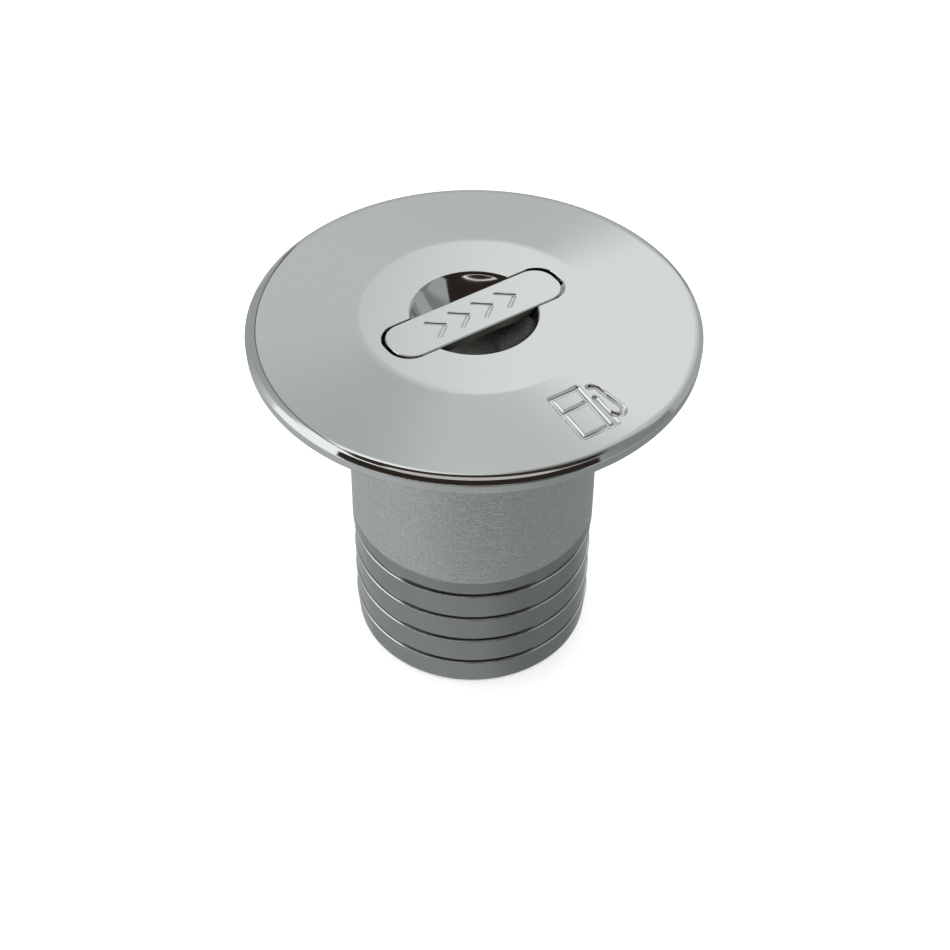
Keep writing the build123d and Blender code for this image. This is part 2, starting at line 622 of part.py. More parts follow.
PIECES = {
    "neck_body": make_neck_body,
    "anchor_ring": make_anchor_ring,
    "cover_disc": make_cover_disc,
    "threaded_plug": make_threaded_plug,
    "plug_screws": make_plug_screws,
    "cap_seal": make_cap_seal,
    "plug_gasket": make_plug_gasket,
    "lever_bar": make_lever_bar,
    "lever_pin": make_lever_pin,
    "pin_keeper": make_pin_keeper,
    "lever_spring": make_lever_spring,
    "swivel_stud": make_swivel_stud,
    "stud_lock_washer": make_stud_lock_washer,
    "swivel_eye": make_swivel_eye,
    "swivel_washer": make_swivel_washer,
    "swivel_ring": make_swivel_ring,
}

os.makedirs("parts", exist_ok=True)
for name, make in PIECES.items():
    export_step(make(), f"parts/{name}.step")
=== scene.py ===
import json
import math

import bmesh
import bpy
import numpy as np
from mathutils import Matrix, Vector


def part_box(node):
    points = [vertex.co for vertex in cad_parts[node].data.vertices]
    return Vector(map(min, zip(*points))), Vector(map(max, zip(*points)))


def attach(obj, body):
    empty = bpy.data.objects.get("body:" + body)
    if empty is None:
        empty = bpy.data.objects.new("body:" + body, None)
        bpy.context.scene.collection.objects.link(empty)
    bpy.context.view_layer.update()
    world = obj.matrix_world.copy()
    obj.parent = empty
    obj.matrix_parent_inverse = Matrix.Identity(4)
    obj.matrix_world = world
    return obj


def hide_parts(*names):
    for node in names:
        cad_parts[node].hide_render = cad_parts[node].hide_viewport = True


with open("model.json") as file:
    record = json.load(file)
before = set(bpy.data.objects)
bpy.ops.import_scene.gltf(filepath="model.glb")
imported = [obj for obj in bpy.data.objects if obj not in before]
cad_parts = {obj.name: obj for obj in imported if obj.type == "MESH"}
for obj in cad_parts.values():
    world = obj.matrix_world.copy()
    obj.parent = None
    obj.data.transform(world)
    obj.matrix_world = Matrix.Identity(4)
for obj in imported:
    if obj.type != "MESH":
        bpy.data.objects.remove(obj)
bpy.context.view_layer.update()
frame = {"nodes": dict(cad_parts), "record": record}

MM = 0.001

# ---------------------------------------------------------------- sizes, in millimetres

# From the frame.
COVER_LOW, COVER_HIGH = (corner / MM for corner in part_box("cover_disc"))
NECK_LOW, NECK_HIGH = (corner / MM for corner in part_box("neck_body"))
PIN_LOW, PIN_HIGH = (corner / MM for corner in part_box("lever_pin"))
LEVER_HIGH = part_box("lever_bar")[1] / MM

CAP_RADIUS = COVER_HIGH.x
PLATEAU_Z = COVER_HIGH.z
HUB_BOTTOM_Z = COVER_LOW.z
FLANGE_RADIUS = NECK_HIGH.x
PAD_Z = NECK_HIGH.z
NECK_BOTTOM_Z = NECK_LOW.z
PIN_X = (PIN_LOW.x + PIN_HIGH.x) / 2
PIN_Z = (PIN_LOW.z + PIN_HIGH.z) / 2
PIN_RADIUS = (PIN_HIGH.z - PIN_LOW.z) / 2

# How far a cutter runs past the face it opens.
CUT_RUN = 1.0

# Cover: flat plateau, cone, rim bent twice, and the hub below. Points are (radius, height).
PLATEAU_RADIUS = 23.15
PLATEAU_BEND_ROUND = 15.0
RIM_BEND = (42.81, 3.128)
RIM_BEND_ROUND = 7.0
RIM_TURN = (43.7, 2.84)
RIM_TURN_ROUND = 0.9
RIM_EDGE_Z = 2.30
RIM_EDGE_ROUND = 0.05
RIM_SEAM_Z = 2.25
HUB_RADIUS = 22.3
COVER_FACE_Z = 3.1

# Finger bowl, and the seat of the lever with the openings for its hinge and spring.
BOWL_RADIUS = 12.6
BOWL_DEPTH = 7.0
BOWL_LIP = 0.25
SEAT_HALF_LENGTH = 20.0
SEAT_HALF_WIDTH = 5.35
SEAT_CORNER = 4.6
SEAT_GAP_BELOW = 0.25
SEAT_BEVEL = 0.12
SEAT_BEVEL_OVER = 0.1
HINGE_POCKET_END_X = -11.75
HINGE_POCKET_ROOF = 1.2
SPRING_PLACE_X = (-12.75, -9.9)
SPRING_PLACE_HALF_WIDTH = 3.2
SPRING_PLACE_TOP_Z = 1.0
PIN_GROOVE_RADIUS = 1.3
PIN_GROOVE_HALF_LENGTH = 8.2

# Fuel pump sign.
SIGN_LEFT = -2.05
SIGN_RIGHT = 4.0
SIGN_TOP = -28.2
SIGN_BOTTOM = -38.7
SIGN_WINDOW_Y = -32.1
SIGN_POST = (5.55, -31.9)
SIGN_GROOVE_RADIUS = 0.74
SIGN_GROOVE_LIFT = 0.22

# Lever with its hinge barrel and the chevrons on its top.
LEVER_CORNER = 4.4
LEVER_THICKNESS = 2.0
LEVER_TOP_ROUND = 0.3
LEVER_UNDER_BEVEL = 0.25
BARREL_RADIUS = 2.2
BARREL_HALF_LENGTH = 4.9
BARREL_TOP_DROP = 0.3
PIN_PLAY = 0.05
CHEVRONS_X = (-8.1, -2.7, 2.7, 8.1)
CHEVRON_REACH = 1.5
CHEVRON_HALF_HEIGHT = 2.4
CHEVRON_GROOVE_RADIUS = 0.5
CHEVRON_GROOVE_LIFT = 0.12

# Neck and flange. The flange's seat pad carries the cover and slopes down to the flange's rim.
NECK_RADIUS = 25.33
PASSAGE_RADIUS = 21.5
PASSAGE_BEVEL = 0.6
PAD_RADIUS = 36.2
PAD_FOOT_RADIUS = 40.3
FLANGE_RIM_Z = 2.1
FLANGE_TOP_ROUND = 0.3
FLANGE_BOTTOM_ROUND = 0.35
FLANGE_FILLET = 2.0
SCREW_CIRCLE_RADIUS = 32.0
SCREW_ANGLES = (90, 210, 330)
SCREW_HOLE_RADIUS = 2.7
SCREW_SINK_RADIUS = 4.95
SCREW_SINK_DEPTH = 2.0
SCREW_SINK_OVER = 0.15

# Female thread.
THREAD_ROOT = 23.0
THREAD_CREST = 21.75
THREAD_PITCH = 3.0
THREAD_START_Z = -15.1
THREAD_TURNS = 3
THREAD_TOP_Z = -0.78
THREAD_BOTTOM_Z = -16.7
THREAD_ROWS = 100
RIDGE_ROOT_WIDTH = 1.5
RIDGE_CREST_WIDTH = 0.7

# Hose ribs, each with a groove above its ledge, and the tapered end of the neck.
RIB_LEDGES_Z = (-48.5, -55.4, -62.1, -68.9)
RIB_START_RISE = 1.6
RIB_CREST_RADIUS = 25.15
RIB_ROOT_RADIUS = 24.85
RIB_GROOVE_RADIUS = 24.5
RIB_GROOVE_WIDTH = 0.55
RIB_GROOVE_BEVEL = 0.1
RIB_EDGE_ROUND = 0.28
NECK_END = ((24.65, NECK_BOTTOM_Z + 0.8), (24.1, NECK_BOTTOM_Z))
NECK_END_ROUND = 0.2
TURNED_TOP_Z = -44.3
TURNED_BLEND = 0.5

# Lug inside the neck for the ring of a retaining chain. The hole is (x, z).
LUG_HOLE = (-18.5, -24.5)
LUG_REACH = 2.6
LUG_HALF_WIDTH = 1.5
LUG_ROOT = 0.6
RING_HOLE_RADIUS = 1.3

# Facets round the full circle.
COVER_SEGMENTS = 360
NECK_SEGMENTS = 240
BOWL_SEGMENTS = 180
HOLE_SEGMENTS = 72


# ---------------------------------------------------------------- mesh helpers

def rounded_line(points, radii, steps=6):
    """Open line of (r, z) points with its corners replaced by arcs. radii holds corner index: radius."""
    line = []
    for i, point in enumerate(points):
        radius = radii.get(i)
        if radius is None:
            line.append(point)
            continue
        here = Vector(point)
        before = (Vector(points[i - 1]) - here).normalized()
        after = (Vector(points[i + 1]) - here).normalized()
        half = before.angle(after) / 2
        reach = radius / math.tan(half)
        centre = here + (before + after).normalized() * (radius / math.sin(half))
        start = here + before * reach - centre
        end = here + after * reach - centre
        turn = start.angle_signed(end)
        for step in range(steps + 1):
            spun = start.copy()
            spun.rotate(Matrix.Rotation(-turn * step / steps, 2))
            line.append(tuple(centre + spun))
    return line


def new_piece(name, verts, faces):
    """Mesh object from points in millimetres."""
    mesh = bpy.data.meshes.new(name)
    mesh.from_pydata([tuple(c * MM for c in v) for v in verts], [], faces)
    mesh.validate()
    mesh.update()
    piece = bpy.data.objects.new(name, mesh)
    bpy.context.scene.collection.objects.link(piece)
    return piece


def fix_normals(piece):
    """Joins points that coincide and turns every face outwards."""
    work = bmesh.new()
    work.from_mesh(piece.data)
    bmesh.ops.remove_doubles(work, verts=work.verts, dist=1e-7)
    bmesh.ops.recalc_face_normals(work, faces=work.faces)
    work.to_mesh(piece.data)
    work.free()
    return piece


def revolve(name, line, segments, radius_at=None):
    """Closed (r, z) line turned about Z. A radius under 0.001 is a pole.

    radius_at(r, z, angle) may vary the radius.
    """
    verts = []
    rows = []
    for r, z in line:
        if r < 0.001:
            rows.append([len(verts)] * segments)
            verts.append((0, 0, z))
            continue
        row = []
        for s in range(segments):
            angle = 2 * math.pi * s / segments
            radius = radius_at(r, z, angle) if radius_at else r
            row.append(len(verts))
            verts.append((radius * math.cos(angle), radius * math.sin(angle), z))
        rows.append(row)
    faces = []
    for i in range(len(rows)):
        a, b = rows[i], rows[(i + 1) % len(rows)]
        for s in range(segments):
            t = (s + 1) % segments
            corners = [a[s], a[t], b[t], b[s]]
            unique = list(dict.fromkeys(corners))
            if len(unique) > 2:
                faces.append(unique)
    return fix_normals(new_piece(name, verts, faces))


def bar_outline(half_length, half_width, corner, steps=14):
    """Points of a rounded rectangle, anticlockwise."""
    points = []
    for quarter, (sx, sy) in enumerate(((1, 1), (-1, 1), (-1, -1), (1, -1))):
        cx = sx * (half_length - corner)
        cy = sy * (half_width - corner)
        for step in range(steps + 1):
            angle = math.radians(90 * quarter + 90 * step / steps)
            points.append((cx + corner * math.cos(angle), cy + corner * math.sin(angle)))
    return points


def bar(name, half_length, half_width, corner, levels):
    """Upright rounded bar. levels are (z, inset) pairs from the bottom up."""
    verts = []
    rings = []
    for z, inset in levels:
        outline = bar_outline(half_length - inset, half_width - inset, corner - inset)
        rings.append(range(len(verts), len(verts) + len(outline)))
        verts += [(x, y, z) for x, y in outline]
    faces = [list(rings[0]), list(rings[-1])]
    for a, b in zip(rings, rings[1:]):
        count = len(a)
        faces += [[a[i], a[(i + 1) % count], b[(i + 1) % count], b[i]] for i in range(count)]
    return fix_normals(new_piece(name, verts, faces))


def block(name, low, high):
    """Box between two corners."""
    verts = [(x, y, z) for z in (low[2], high[2]) for y in (low[1], high[1]) for x in (low[0], high[0])]
    faces = [(0, 2, 3, 1), (4, 5, 7, 6), (0, 1, 5, 4), (2, 6, 7, 3), (0, 4, 6, 2), (1, 3, 7, 5)]
    return fix_normals(new_piece(name, verts, faces))


def rod_y(name, radius, half_length, x, z, segments=48):
    """Round rod along Y."""
    verts = []
    for y in (-half_length, half_length):
        for s in range(segments):
            angle = 2 * math.pi * s / segments
            verts.append((x + radius * math.cos(angle), y, z + radius * math.sin(angle)))
    faces = [list(range(segments)), list(range(segments, 2 * segments))]
    for s in range(segments):
        t = (s + 1) % segments
        faces.append([s, t, segments + t, segments + s])
    return fix_normals(new_piece(name, verts, faces))


def stroke(name, start, end, radius, segments=20, rings=6):
    """Capsule between two points, the cutter for a round-bottomed groove."""
    start, end = Vector(start), Vector(end)
    along = (end - start).normalized()
    side = along.orthogonal().normalized()
    up = along.cross(side)
    profile = []
    for i in range(rings + 1):
        angle = math.pi / 2 * i / rings
        profile.append((start - along * radius * math.cos(angle), radius * math.sin(angle)))
    for i in range(rings + 1):
        angle = math.pi / 2 * (1 - i / rings)
        profile.append((end + along * radius * math.cos(angle), radius * math.sin(angle)))
    verts = []
    rows = []
    for centre, r in profile:
        if r < 1e-6:
            rows.append([len(verts)] * segments)
            verts.append(tuple(centre))
            continue
        rows.append(list(range(len(verts), len(verts) + segments)))
        for s in range(segments):
            angle = 2 * math.pi * s / segments
            verts.append(tuple(centre + side * r * math.cos(angle) + up * r * math.sin(angle)))
    faces = []
    for a, b in zip(rows, rows[1:]):
        for s in range(segments):
            t = (s + 1) % segments
            corners = list(dict.fromkeys([a[s], a[t], b[t], b[s]]))
            if len(corners) > 2:
                faces.append(corners)
    return fix_normals(new_piece(name, verts, faces))


def apply_modifiers(piece):
    graph = bpy.context.evaluated_depsgraph_get()
    mesh = bpy.data.meshes.new_from_object(piece.evaluated_get(graph))
    piece.modifiers.clear()
    old = piece.data
    piece.data = mesh
    bpy.data.meshes.remove(old)


def combine(piece, others, operation="DIFFERENCE"):
    """Applies one boolean after another and deletes the other pieces."""
    for other in others:
        modifier = piece.modifiers.new("boolean", "BOOLEAN")
        modifier.operation = operation
        modifier.solver = "EXACT"
        modifier.object = other
        apply_modifiers(piece)
        bpy.data.objects.remove(other)


def smooth(piece, angle=30.0):
    """Smooth shading, with edges kept sharp above the angle in degrees."""
    piece.data.shade_smooth()
    piece.data.set_sharp_from_angle(angle=math.radians(angle))


def smooth_by_area(piece, angle=30.0):
    """Smooth shading in which the large faces keep their own normals and the small roundings blend."""
    smooth(piece, angle)
    modifier = piece.modifiers.new("normals", "WEIGHTED_NORMAL")
    modifier.keep_sharp = True
    modifier.weight = 80
    apply_modifiers(piece)


def smooth_to_profile(piece, line, angle=30.0):
    """Gives faces that lie on the turned line the line's exact normals, so that reflections run clean."""
    smooth(piece, angle)
    mesh = piece.data
    radii = np.array([p[0] for p in line])
    heights = np.array([p[1] for p in line])
    tangents = np.gradient(np.array(line), axis=0)
    slopes = np.arctan2(tangents[:, 1], tangents[:, 0])
    normals = [Vector(n.vector) for n in mesh.corner_normals]
    for face in mesh.polygons:
        centre = face.center / MM
        radius = math.hypot(centre.x, centre.y)
        if radius > radii[-1] + 0.02:
            continue
        if abs(centre.z - np.interp(radius, radii, heights)) > 0.04:
            continue
        slope = np.interp(radius, radii, slopes)
        if face.normal.z < math.cos(slope) - 0.05:
            continue
        for loop in face.loop_indices:
            spot = mesh.vertices[mesh.loops[loop].vertex_index].co / MM
            reach = math.hypot(spot.x, spot.y)
            tilt = np.interp(reach, radii, slopes)
            out = Vector((spot.x, spot.y, 0)).normalized() if reach > 0.01 else Vector((0, 0, 0))
            normals[loop] = (out * -math.sin(tilt) + Vector((0, 0, math.cos(tilt)))).normalized()
    mesh.normals_split_custom_set(normals)


def paint(piece, materials, pick):
    """Gives the piece its materials. pick(face, centre) returns an index, with the centre in millimetres."""
    piece.data.materials.clear()
    for material in materials:
        piece.data.materials.append(material)
    for face in piece.data.polygons:
        face.material_index = pick(face, face.center / MM)


# ---------------------------------------------------------------- materials

def shader_nodes(name):
    material = bpy.data.materials.new(name)
    material.use_nodes = True
    nodes = material.node_tree.nodes
    return material, nodes, material.node_tree.links, nodes["Principled BSDF"]


def noise_node(nodes, links, coords, scale, detail=2.0, rough=0.5):
    noise = nodes.new("ShaderNodeTexNoise")
    noise.inputs["Scale"].default_value = scale
    noise.inputs["Detail"].default_value = detail
    noise.inputs["Roughness"].default_value = rough
    links.new(coords, noise.inputs["Vector"])
    return noise.outputs["Fac"]


def ramp(nodes, links, value, low, high, out_low, out_high):
    """Maps low..high to out_low..out_high and holds the ends."""
    node = nodes.new("ShaderNodeMapRange")
    node.inputs["From Min"].default_value = low
    node.inputs["From Max"].default_value = high
    node.inputs["To Min"].default_value = out_low
    node.inputs["To Max"].default_value = out_high
    links.new(value, node.inputs["Value"])
    return node.outputs["Result"]


def bump_node(nodes, links, height, distance, strength=1.0, before=None):
    node = nodes.new("ShaderNodeBump")
    node.inputs["Distance"].default_value = distance
    node.inputs["Strength"].default_value = strength
    links.new(height, node.inputs["Height"])
    if before is not None:
        links.new(before, node.inputs["Normal"])
    return node.outputs["Normal"]


def polished_steel(name, tint=(0.80, 0.81, 0.80), rough=(0.02, 0.07), waviness=0.00001):
    """Mirror-polished stainless: faint haze, a little waviness of the casting, fine polishing marks."""
    material, nodes, links, shader = shader_nodes(name)
    coords = nodes.new("ShaderNodeTexCoord").outputs["Object"]
    shader.inputs["Base Color"].default_value = (*tint, 1)
    shader.inputs["Metallic"].default_value = 1.0
    haze = noise_node(nodes, links, coords, 90, 4.0, 0.6)
    links.new(ramp(nodes, links, haze, 0.3, 0.75, *rough), shader.inputs["Roughness"])
    wave = noise_node(nodes, links, coords, 60, 1.0)
    links.new(bump_node(nodes, links, wave, waviness), shader.inputs["Normal"])
    return material


def cast_steel(name):
    """Bead-blasted casting above, satin turned ribs below: grain, colour and gloss change with height. The
    turned ribs are coloured darker as painted shade, so the neck darkens towards the bottom.
    """
    material, nodes, links, shader = shader_nodes(name)
    coords = nodes.new("ShaderNodeTexCoord").outputs["Object"]
    shader.inputs["Metallic"].default_value = 1.0
    split = nodes.new("ShaderNodeSeparateXYZ")
    links.new(coords, split.inputs["Vector"])
    height = split.outputs["Z"]
    border = (TURNED_TOP_Z * MM, (TURNED_TOP_Z + TURNED_BLEND) * MM)
    cast = ramp(nodes, links, height, *border, 0.0, 1.0)
    turned = ramp(nodes, links, height, *border, 1.0, 0.0)
    grain = noise_node(nodes, links, coords, 1900, 2.0, 0.6)
    blotches = noise_node(nodes, links, coords, 420, 3.0, 0.65)
    clouds = noise_node(nodes, links, coords, 90, 3.0, 0.6)
    turning = nodes.new("ShaderNodeTexNoise")
    turning.noise_dimensions = "1D"
    turning.inputs["Scale"].default_value = 7000
    links.new(height, turning.inputs["W"])

    def blend(factor, low, high, colour=False):
        mix = nodes.new("ShaderNodeMix")
        mix.data_type = "RGBA" if colour else "FLOAT"
        links.new(factor, mix.inputs[0])
        # A colour mix has its own pair of A and B sockets.
        sockets = (mix.inputs[6], mix.inputs[7]) if colour else (mix.inputs[2], mix.inputs[3])
        for socket, value in zip(sockets, (low, high)):
            if isinstance(value, tuple):
                socket.default_value = value
            else:
                links.new(value, socket)
        return mix.outputs[2] if colour else mix.outputs[0]

    rough_cast = ramp(nodes, links, blotches, 0.3, 0.7, 0.30, 0.44)
    rough_turned = ramp(nodes, links, clouds, 0.3, 0.7, 0.14, 0.22)
    links.new(blend(cast, rough_turned, rough_cast), shader.inputs["Roughness"])

    specks = ramp(nodes, links, grain, 0.36, 0.64, 0.0, 1.0)
    cast_colour = blend(specks, (0.67, 0.69, 0.67, 1), (0.84, 0.86, 0.84, 1), True)
    # The turned ribs' colour is painted darker than the casting: painted shade lower on the neck.
    turned_colour_painted_darker = blend(clouds, (0.37, 0.39, 0.37, 1), (0.45, 0.47, 0.45, 1), True)
    links.new(blend(cast, turned_colour_painted_darker, cast_colour, True), shader.inputs["Base Color"])

    def masked(value, mask):
        product = nodes.new("ShaderNodeMath")
        product.operation = "MULTIPLY"
        links.new(value, product.inputs[0])
        links.new(mask, product.inputs[1])
        return product.outputs["Value"]

    pitted = bump_node(nodes, links, masked(grain, cast), 0.0001, 1.0)
    lumpy = bump_node(nodes, links, masked(blotches, cast), 0.00008, 1.0, pitted)
    normal = bump_node(nodes, links, masked(turning.outputs["Fac"], turned), 0.00001, 0.7, lumpy)
    links.new(normal, shader.inputs["Normal"])
    return material


def plain_material(name, colour, rough, metallic=0.0, grain_scale=900, grain=0.00001):
    """Even colour with a fine grain: near-black steel for painted shade, rubber, acetal and spring steel."""
    material, nodes, links, shader = shader_nodes(name)
    coords = nodes.new("ShaderNodeTexCoord").outputs["Object"]
    shader.inputs["Base Color"].default_value = (*colour, 1)
    shader.inputs["Metallic"].default_value = metallic
    haze = noise_node(nodes, links, coords, grain_scale, 3.0)
    links.new(ramp(nodes, links, haze, 0.3, 0.7, rough - 0.06, rough + 0.06), shader.inputs["Roughness"])
    links.new(bump_node(nodes, links, haze, grain), shader.inputs["Normal"])
    return material


POLISHED = polished_steel("polished_stainless")
# The bowl's polished steel is tinted darker than the top: painted shade in the recess.
BOWL = polished_steel("bowl_stainless", (0.70, 0.70, 0.69), (0.03, 0.12), 0.00003)
# Near-black steel: painted shade for the bowl's half by the sign, the hub, and the lever's underside and
# hinge barrel.
PAINTED_SHADE_STEEL = plain_material("unpolished_stainless", (0.085, 0.085, 0.075), 0.34, 1.0, 1500, 0.00006)
CAST = cast_steel("cast_stainless")
RUBBER = plain_material("seal_rubber", (0.025, 0.025, 0.025), 0.5)
ACETAL = plain_material("acetal", (0.80, 0.79, 0.74), 0.38)
SPRING = plain_material("spring_stainless", (0.62, 0.61, 0.58), 0.25, 1.0)

SLOT_MATERIALS = {
    "polished_stainless": POLISHED,
    "cast_stainless": CAST,
    "seal_rubber": RUBBER,
    "acetal": ACETAL,
    "spring_stainless": SPRING,
}
NODE_SLOTS = {subpart["node"]: subpart["material_slot"] for subpart in frame["record"]["subparts"]}

for node in frame["nodes"].values():
    node.data.materials.clear()
    node.data.materials.append(SLOT_MATERIALS[NODE_SLOTS[node.name]])


def take_place(piece, body, node):
    """Puts the piece on a body, in place of a node of the CAD."""
    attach(piece, body)
    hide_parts(node)


# ---------------------------------------------------------------- camera

# The camera looks down at the object, turned about Z from the lever's own direction.
VIEW_TURN = math.radians(34.5)
VIEW_PITCH = math.radians(44.07)
VIEW_ROLL = math.radians(0.6)
LENS = 75.79
SENSOR_WIDTH = 36.0
CAMERA_ASIDE = 0.457
CAMERA_UP = -28.59
CAMERA_BACK = 389.7
AIM_Z = 1.62

# right and level are the camera's sideways and forward directions, both level with the floor.
right = Vector((math.cos(VIEW_TURN), -math.sin(VIEW_TURN), 0))
level = Vector((math.sin(VIEW_TURN), math.cos(VIEW_TURN), 0))
up = level * math.sin(VIEW_PITCH) + Vector((0, 0, math.cos(VIEW_PITCH)))
ahead = level * math.cos(VIEW_PITCH) - Vector((0, 0, math.sin(VIEW_PITCH)))
camera_data = bpy.data.cameras.new("camera")
camera_data.sensor_width = SENSOR_WIDTH
camera_data.lens = LENS
camera_data.clip_start = 0.01
camera = bpy.data.objects.new("camera", camera_data)
turn = Matrix((right, up, -ahead)).transposed() @ Matrix.Rotation(VIEW_ROLL, 3, "Z")
spot = right * CAMERA_ASIDE + up * CAMERA_UP - ahead * CAMERA_BACK + Vector((0, 0, AIM_Z))
camera.matrix_world = Matrix.Translation(spot * MM) @ turn.to_4x4()
bpy.context.scene.collection.objects.link(camera)
bpy.context.scene.camera = camera


# ---------------------------------------------------------------- cover disc

def cover_top_line():
    """(r, z) line of the polished top, from the middle out to the seam under the rim."""
    corners = [
        (0, PLATEAU_Z),
        (PLATEAU_RADIUS, PLATEAU_Z),
        RIM_BEND,
        RIM_TURN,
        (CAP_RADIUS, RIM_EDGE_Z),
        (CAP_RADIUS, RIM_SEAM_Z),
    ]
    rounds = {1: PLATEAU_BEND_ROUND, 2: RIM_BEND_ROUND, 3: RIM_TURN_ROUND, 4: RIM_EDGE_ROUND}
    return rounded_line(corners, rounds, 12)


def cone_z(r):
    """Height of the cover's cone at a radius."""
    bend_radius, bend_z = RIM_BEND
    return PLATEAU_Z + (r - PLATEAU_RADIUS) * (bend_z - PLATEAU_Z) / (bend_radius - PLATEAU_RADIUS)


def groove_cutters(lines, surface_z, radius, lift):
    """Cutters for grooves along (x, y) lines. lift is the height of their middle line over the surface."""
    cutters = []
    for line in lines:
        for start, end in zip(line, line[1:]):
            ends = [(x, y, surface_z(math.hypot(x, y)) + lift) for x, y in (start, end)]
            cutters.append(stroke("groove", *ends, radius))
    return cutters


def bowl_cutter(steps=24):
    """Ball-shaped bowl with a narrow lip. The ball stops just short of the plateau, where the lip begins."""
    ball_radius = (BOWL_RADIUS**2 + BOWL_DEPTH**2) / (2 * BOWL_DEPTH)
    ball_z = PLATEAU_Z - BOWL_DEPTH + ball_radius
    edge = math.asin(BOWL_RADIUS / ball_radius) - 0.012
    line = [(0, PLATEAU_Z - BOWL_DEPTH)]
    for step in range(1, steps + 1):
        angle = edge * step / steps
        line.append((ball_radius * math.sin(angle), ball_z - ball_radius * math.cos(angle)))
    line += [
        (BOWL_RADIUS + 0.16, PLATEAU_Z + 0.02),
        (BOWL_RADIUS + BOWL_LIP, PLATEAU_Z + 0.3),
        (0, PLATEAU_Z + 0.3),
    ]
    return revolve("bowl", line, BOWL_SEGMENTS)


def lever_seat_cutters():
    """The lever's seat with its bevel, the hinge's pocket, the spring's place and the pin's groove."""
    levels = [
        (PLATEAU_Z - LEVER_THICKNESS - SEAT_GAP_BELOW, 0),
        (PLATEAU_Z - SEAT_BEVEL, 0),
        (PLATEAU_Z + SEAT_BEVEL_OVER, -SEAT_BEVEL - SEAT_BEVEL_OVER),
    ]
    below = HUB_BOTTOM_Z - CUT_RUN
    spring_from, spring_to = SPRING_PLACE_X
    return [
        bar("lever_seat", SEAT_HALF_LENGTH, SEAT_HALF_WIDTH, SEAT_CORNER, levels),
        block(
            "hinge_pocket",
            (-SEAT_HALF_LENGTH, -SEAT_HALF_WIDTH, below),
            (HINGE_POCKET_END_X, SEAT_HALF_WIDTH, PLATEAU_Z - HINGE_POCKET_ROOF),
        ),
        block(
            "spring_place",
            (spring_from, -SPRING_PLACE_HALF_WIDTH, below),
            (spring_to, SPRING_PLACE_HALF_WIDTH, SPRING_PLACE_TOP_Z),
        ),
        block(
            "pin_groove",
            (PIN_X - PIN_GROOVE_RADIUS, -PIN_GROOVE_HALF_LENGTH, below),
            (PIN_X + PIN_GROOVE_RADIUS, PIN_GROOVE_HALF_LENGTH, PIN_Z + 0.01),
        ),
        rod_y("pin_groove_top", PIN_GROOVE_RADIUS, PIN_GROOVE_HALF_LENGTH, PIN_X, PIN_Z),
    ]


def sign_lines():
    """(x, y) lines of the fuel pump sign: case, window, post beside it, and hose with nozzle."""
    post_x, post_top = SIGN_POST
    case = [
        (SIGN_LEFT, SIGN_TOP),
        (SIGN_RIGHT, SIGN_TOP),
        (SIGN_RIGHT, SIGN_BOTTOM),
        (SIGN_LEFT, SIGN_BOTTOM),
        (SIGN_LEFT, SIGN_TOP),
    ]
    window = [(SIGN_LEFT, SIGN_WINDOW_Y), (SIGN_RIGHT, SIGN_WINDOW_Y)]
    post = [(post_x, post_top), (post_x, SIGN_BOTTOM), (SIGN_RIGHT, SIGN_BOTTOM)]
    hose = rounded_line(
        [(6.0, -29.1), (7.25, -29.3), (7.8, -32.2), (9.0, -37.2), (6.9, -37.6), (6.2, -36.5)],
        {1: 1.4, 3: 1.3, 4: 1.2},
        4,
    )
    return [case, window, post, hose]


def cover_material(face, centre):
    """0 polished, 1 in the bowl's far half, tinted darker as painted shade, 2 near-black painted shade: the
    bowl's half by the sign, and the hub.
    """
    in_bowl = math.hypot(centre.x, centre.y) < BOWL_RADIUS - 0.1 and centre.z < PLATEAU_Z - 0.3
    if in_bowl:
        return 1 if centre.y > 0 else 2
    return 2 if centre.z < 0 else 0


def make_cover_disc():
    top_line = cover_top_line()
    cover_line = top_line + [
        (PAD_FOOT_RADIUS, RIM_SEAM_Z),
        (PAD_RADIUS, COVER_FACE_Z),
        (HUB_RADIUS, COVER_FACE_Z),
        (HUB_RADIUS, HUB_BOTTOM_Z),
        (0, HUB_BOTTOM_Z),
    ]
    cover = revolve("cover_shell", cover_line, COVER_SEGMENTS)
    combine(cover, [bowl_cutter()])
    combine(cover, lever_seat_cutters())
    combine(cover, groove_cutters(sign_lines(), cone_z, SIGN_GROOVE_RADIUS, SIGN_GROOVE_LIFT))
    smooth_to_profile(cover, top_line)
    paint(cover, [POLISHED, BOWL, PAINTED_SHADE_STEEL], cover_material)
    take_place(cover, "cap", "cover_disc")


make_cover_disc()


# ---------------------------------------------------------------- lever

def lever_handle(bottom_z, steps=6):
    """Flat bar with a small bevel below and a quarter-round top edge."""
    levels = [(bottom_z, LEVER_UNDER_BEVEL), (bottom_z + LEVER_UNDER_BEVEL, 0)]
    for step in range(steps + 1):
        angle = math.pi / 2 * step / steps
        rise = LEVER_TOP_ROUND * math.sin(angle)
        levels.append((PLATEAU_Z - LEVER_TOP_ROUND + rise, LEVER_TOP_ROUND * (1 - math.cos(angle))))
    return bar("lever_handle", LEVER_HIGH.x, LEVER_HIGH.y, LEVER_CORNER, levels)


def chevron_lines():
    """(x, y) lines of the chevrons that stand in place of lettering."""
    lines = []
    for x in CHEVRONS_X:
        tail = x - CHEVRON_REACH
        lines.append([(tail, CHEVRON_HALF_HEIGHT), (x + CHEVRON_REACH, 0), (tail, -CHEVRON_HALF_HEIGHT)])
    return lines


def flatten_top(piece):
    """Gives the flat top one exact normal, so that its reflection runs clean between the chevrons."""
    mesh = piece.data
    normals = [Vector(n.vector) for n in mesh.corner_normals]
    for face in mesh.polygons:
        if face.normal.z > 0.9999 and face.center.z > (PLATEAU_Z - 0.01) * MM:
            for loop in face.loop_indices:
                normals[loop] = Vector((0, 0, 1))
    mesh.normals_split_custom_set(normals)


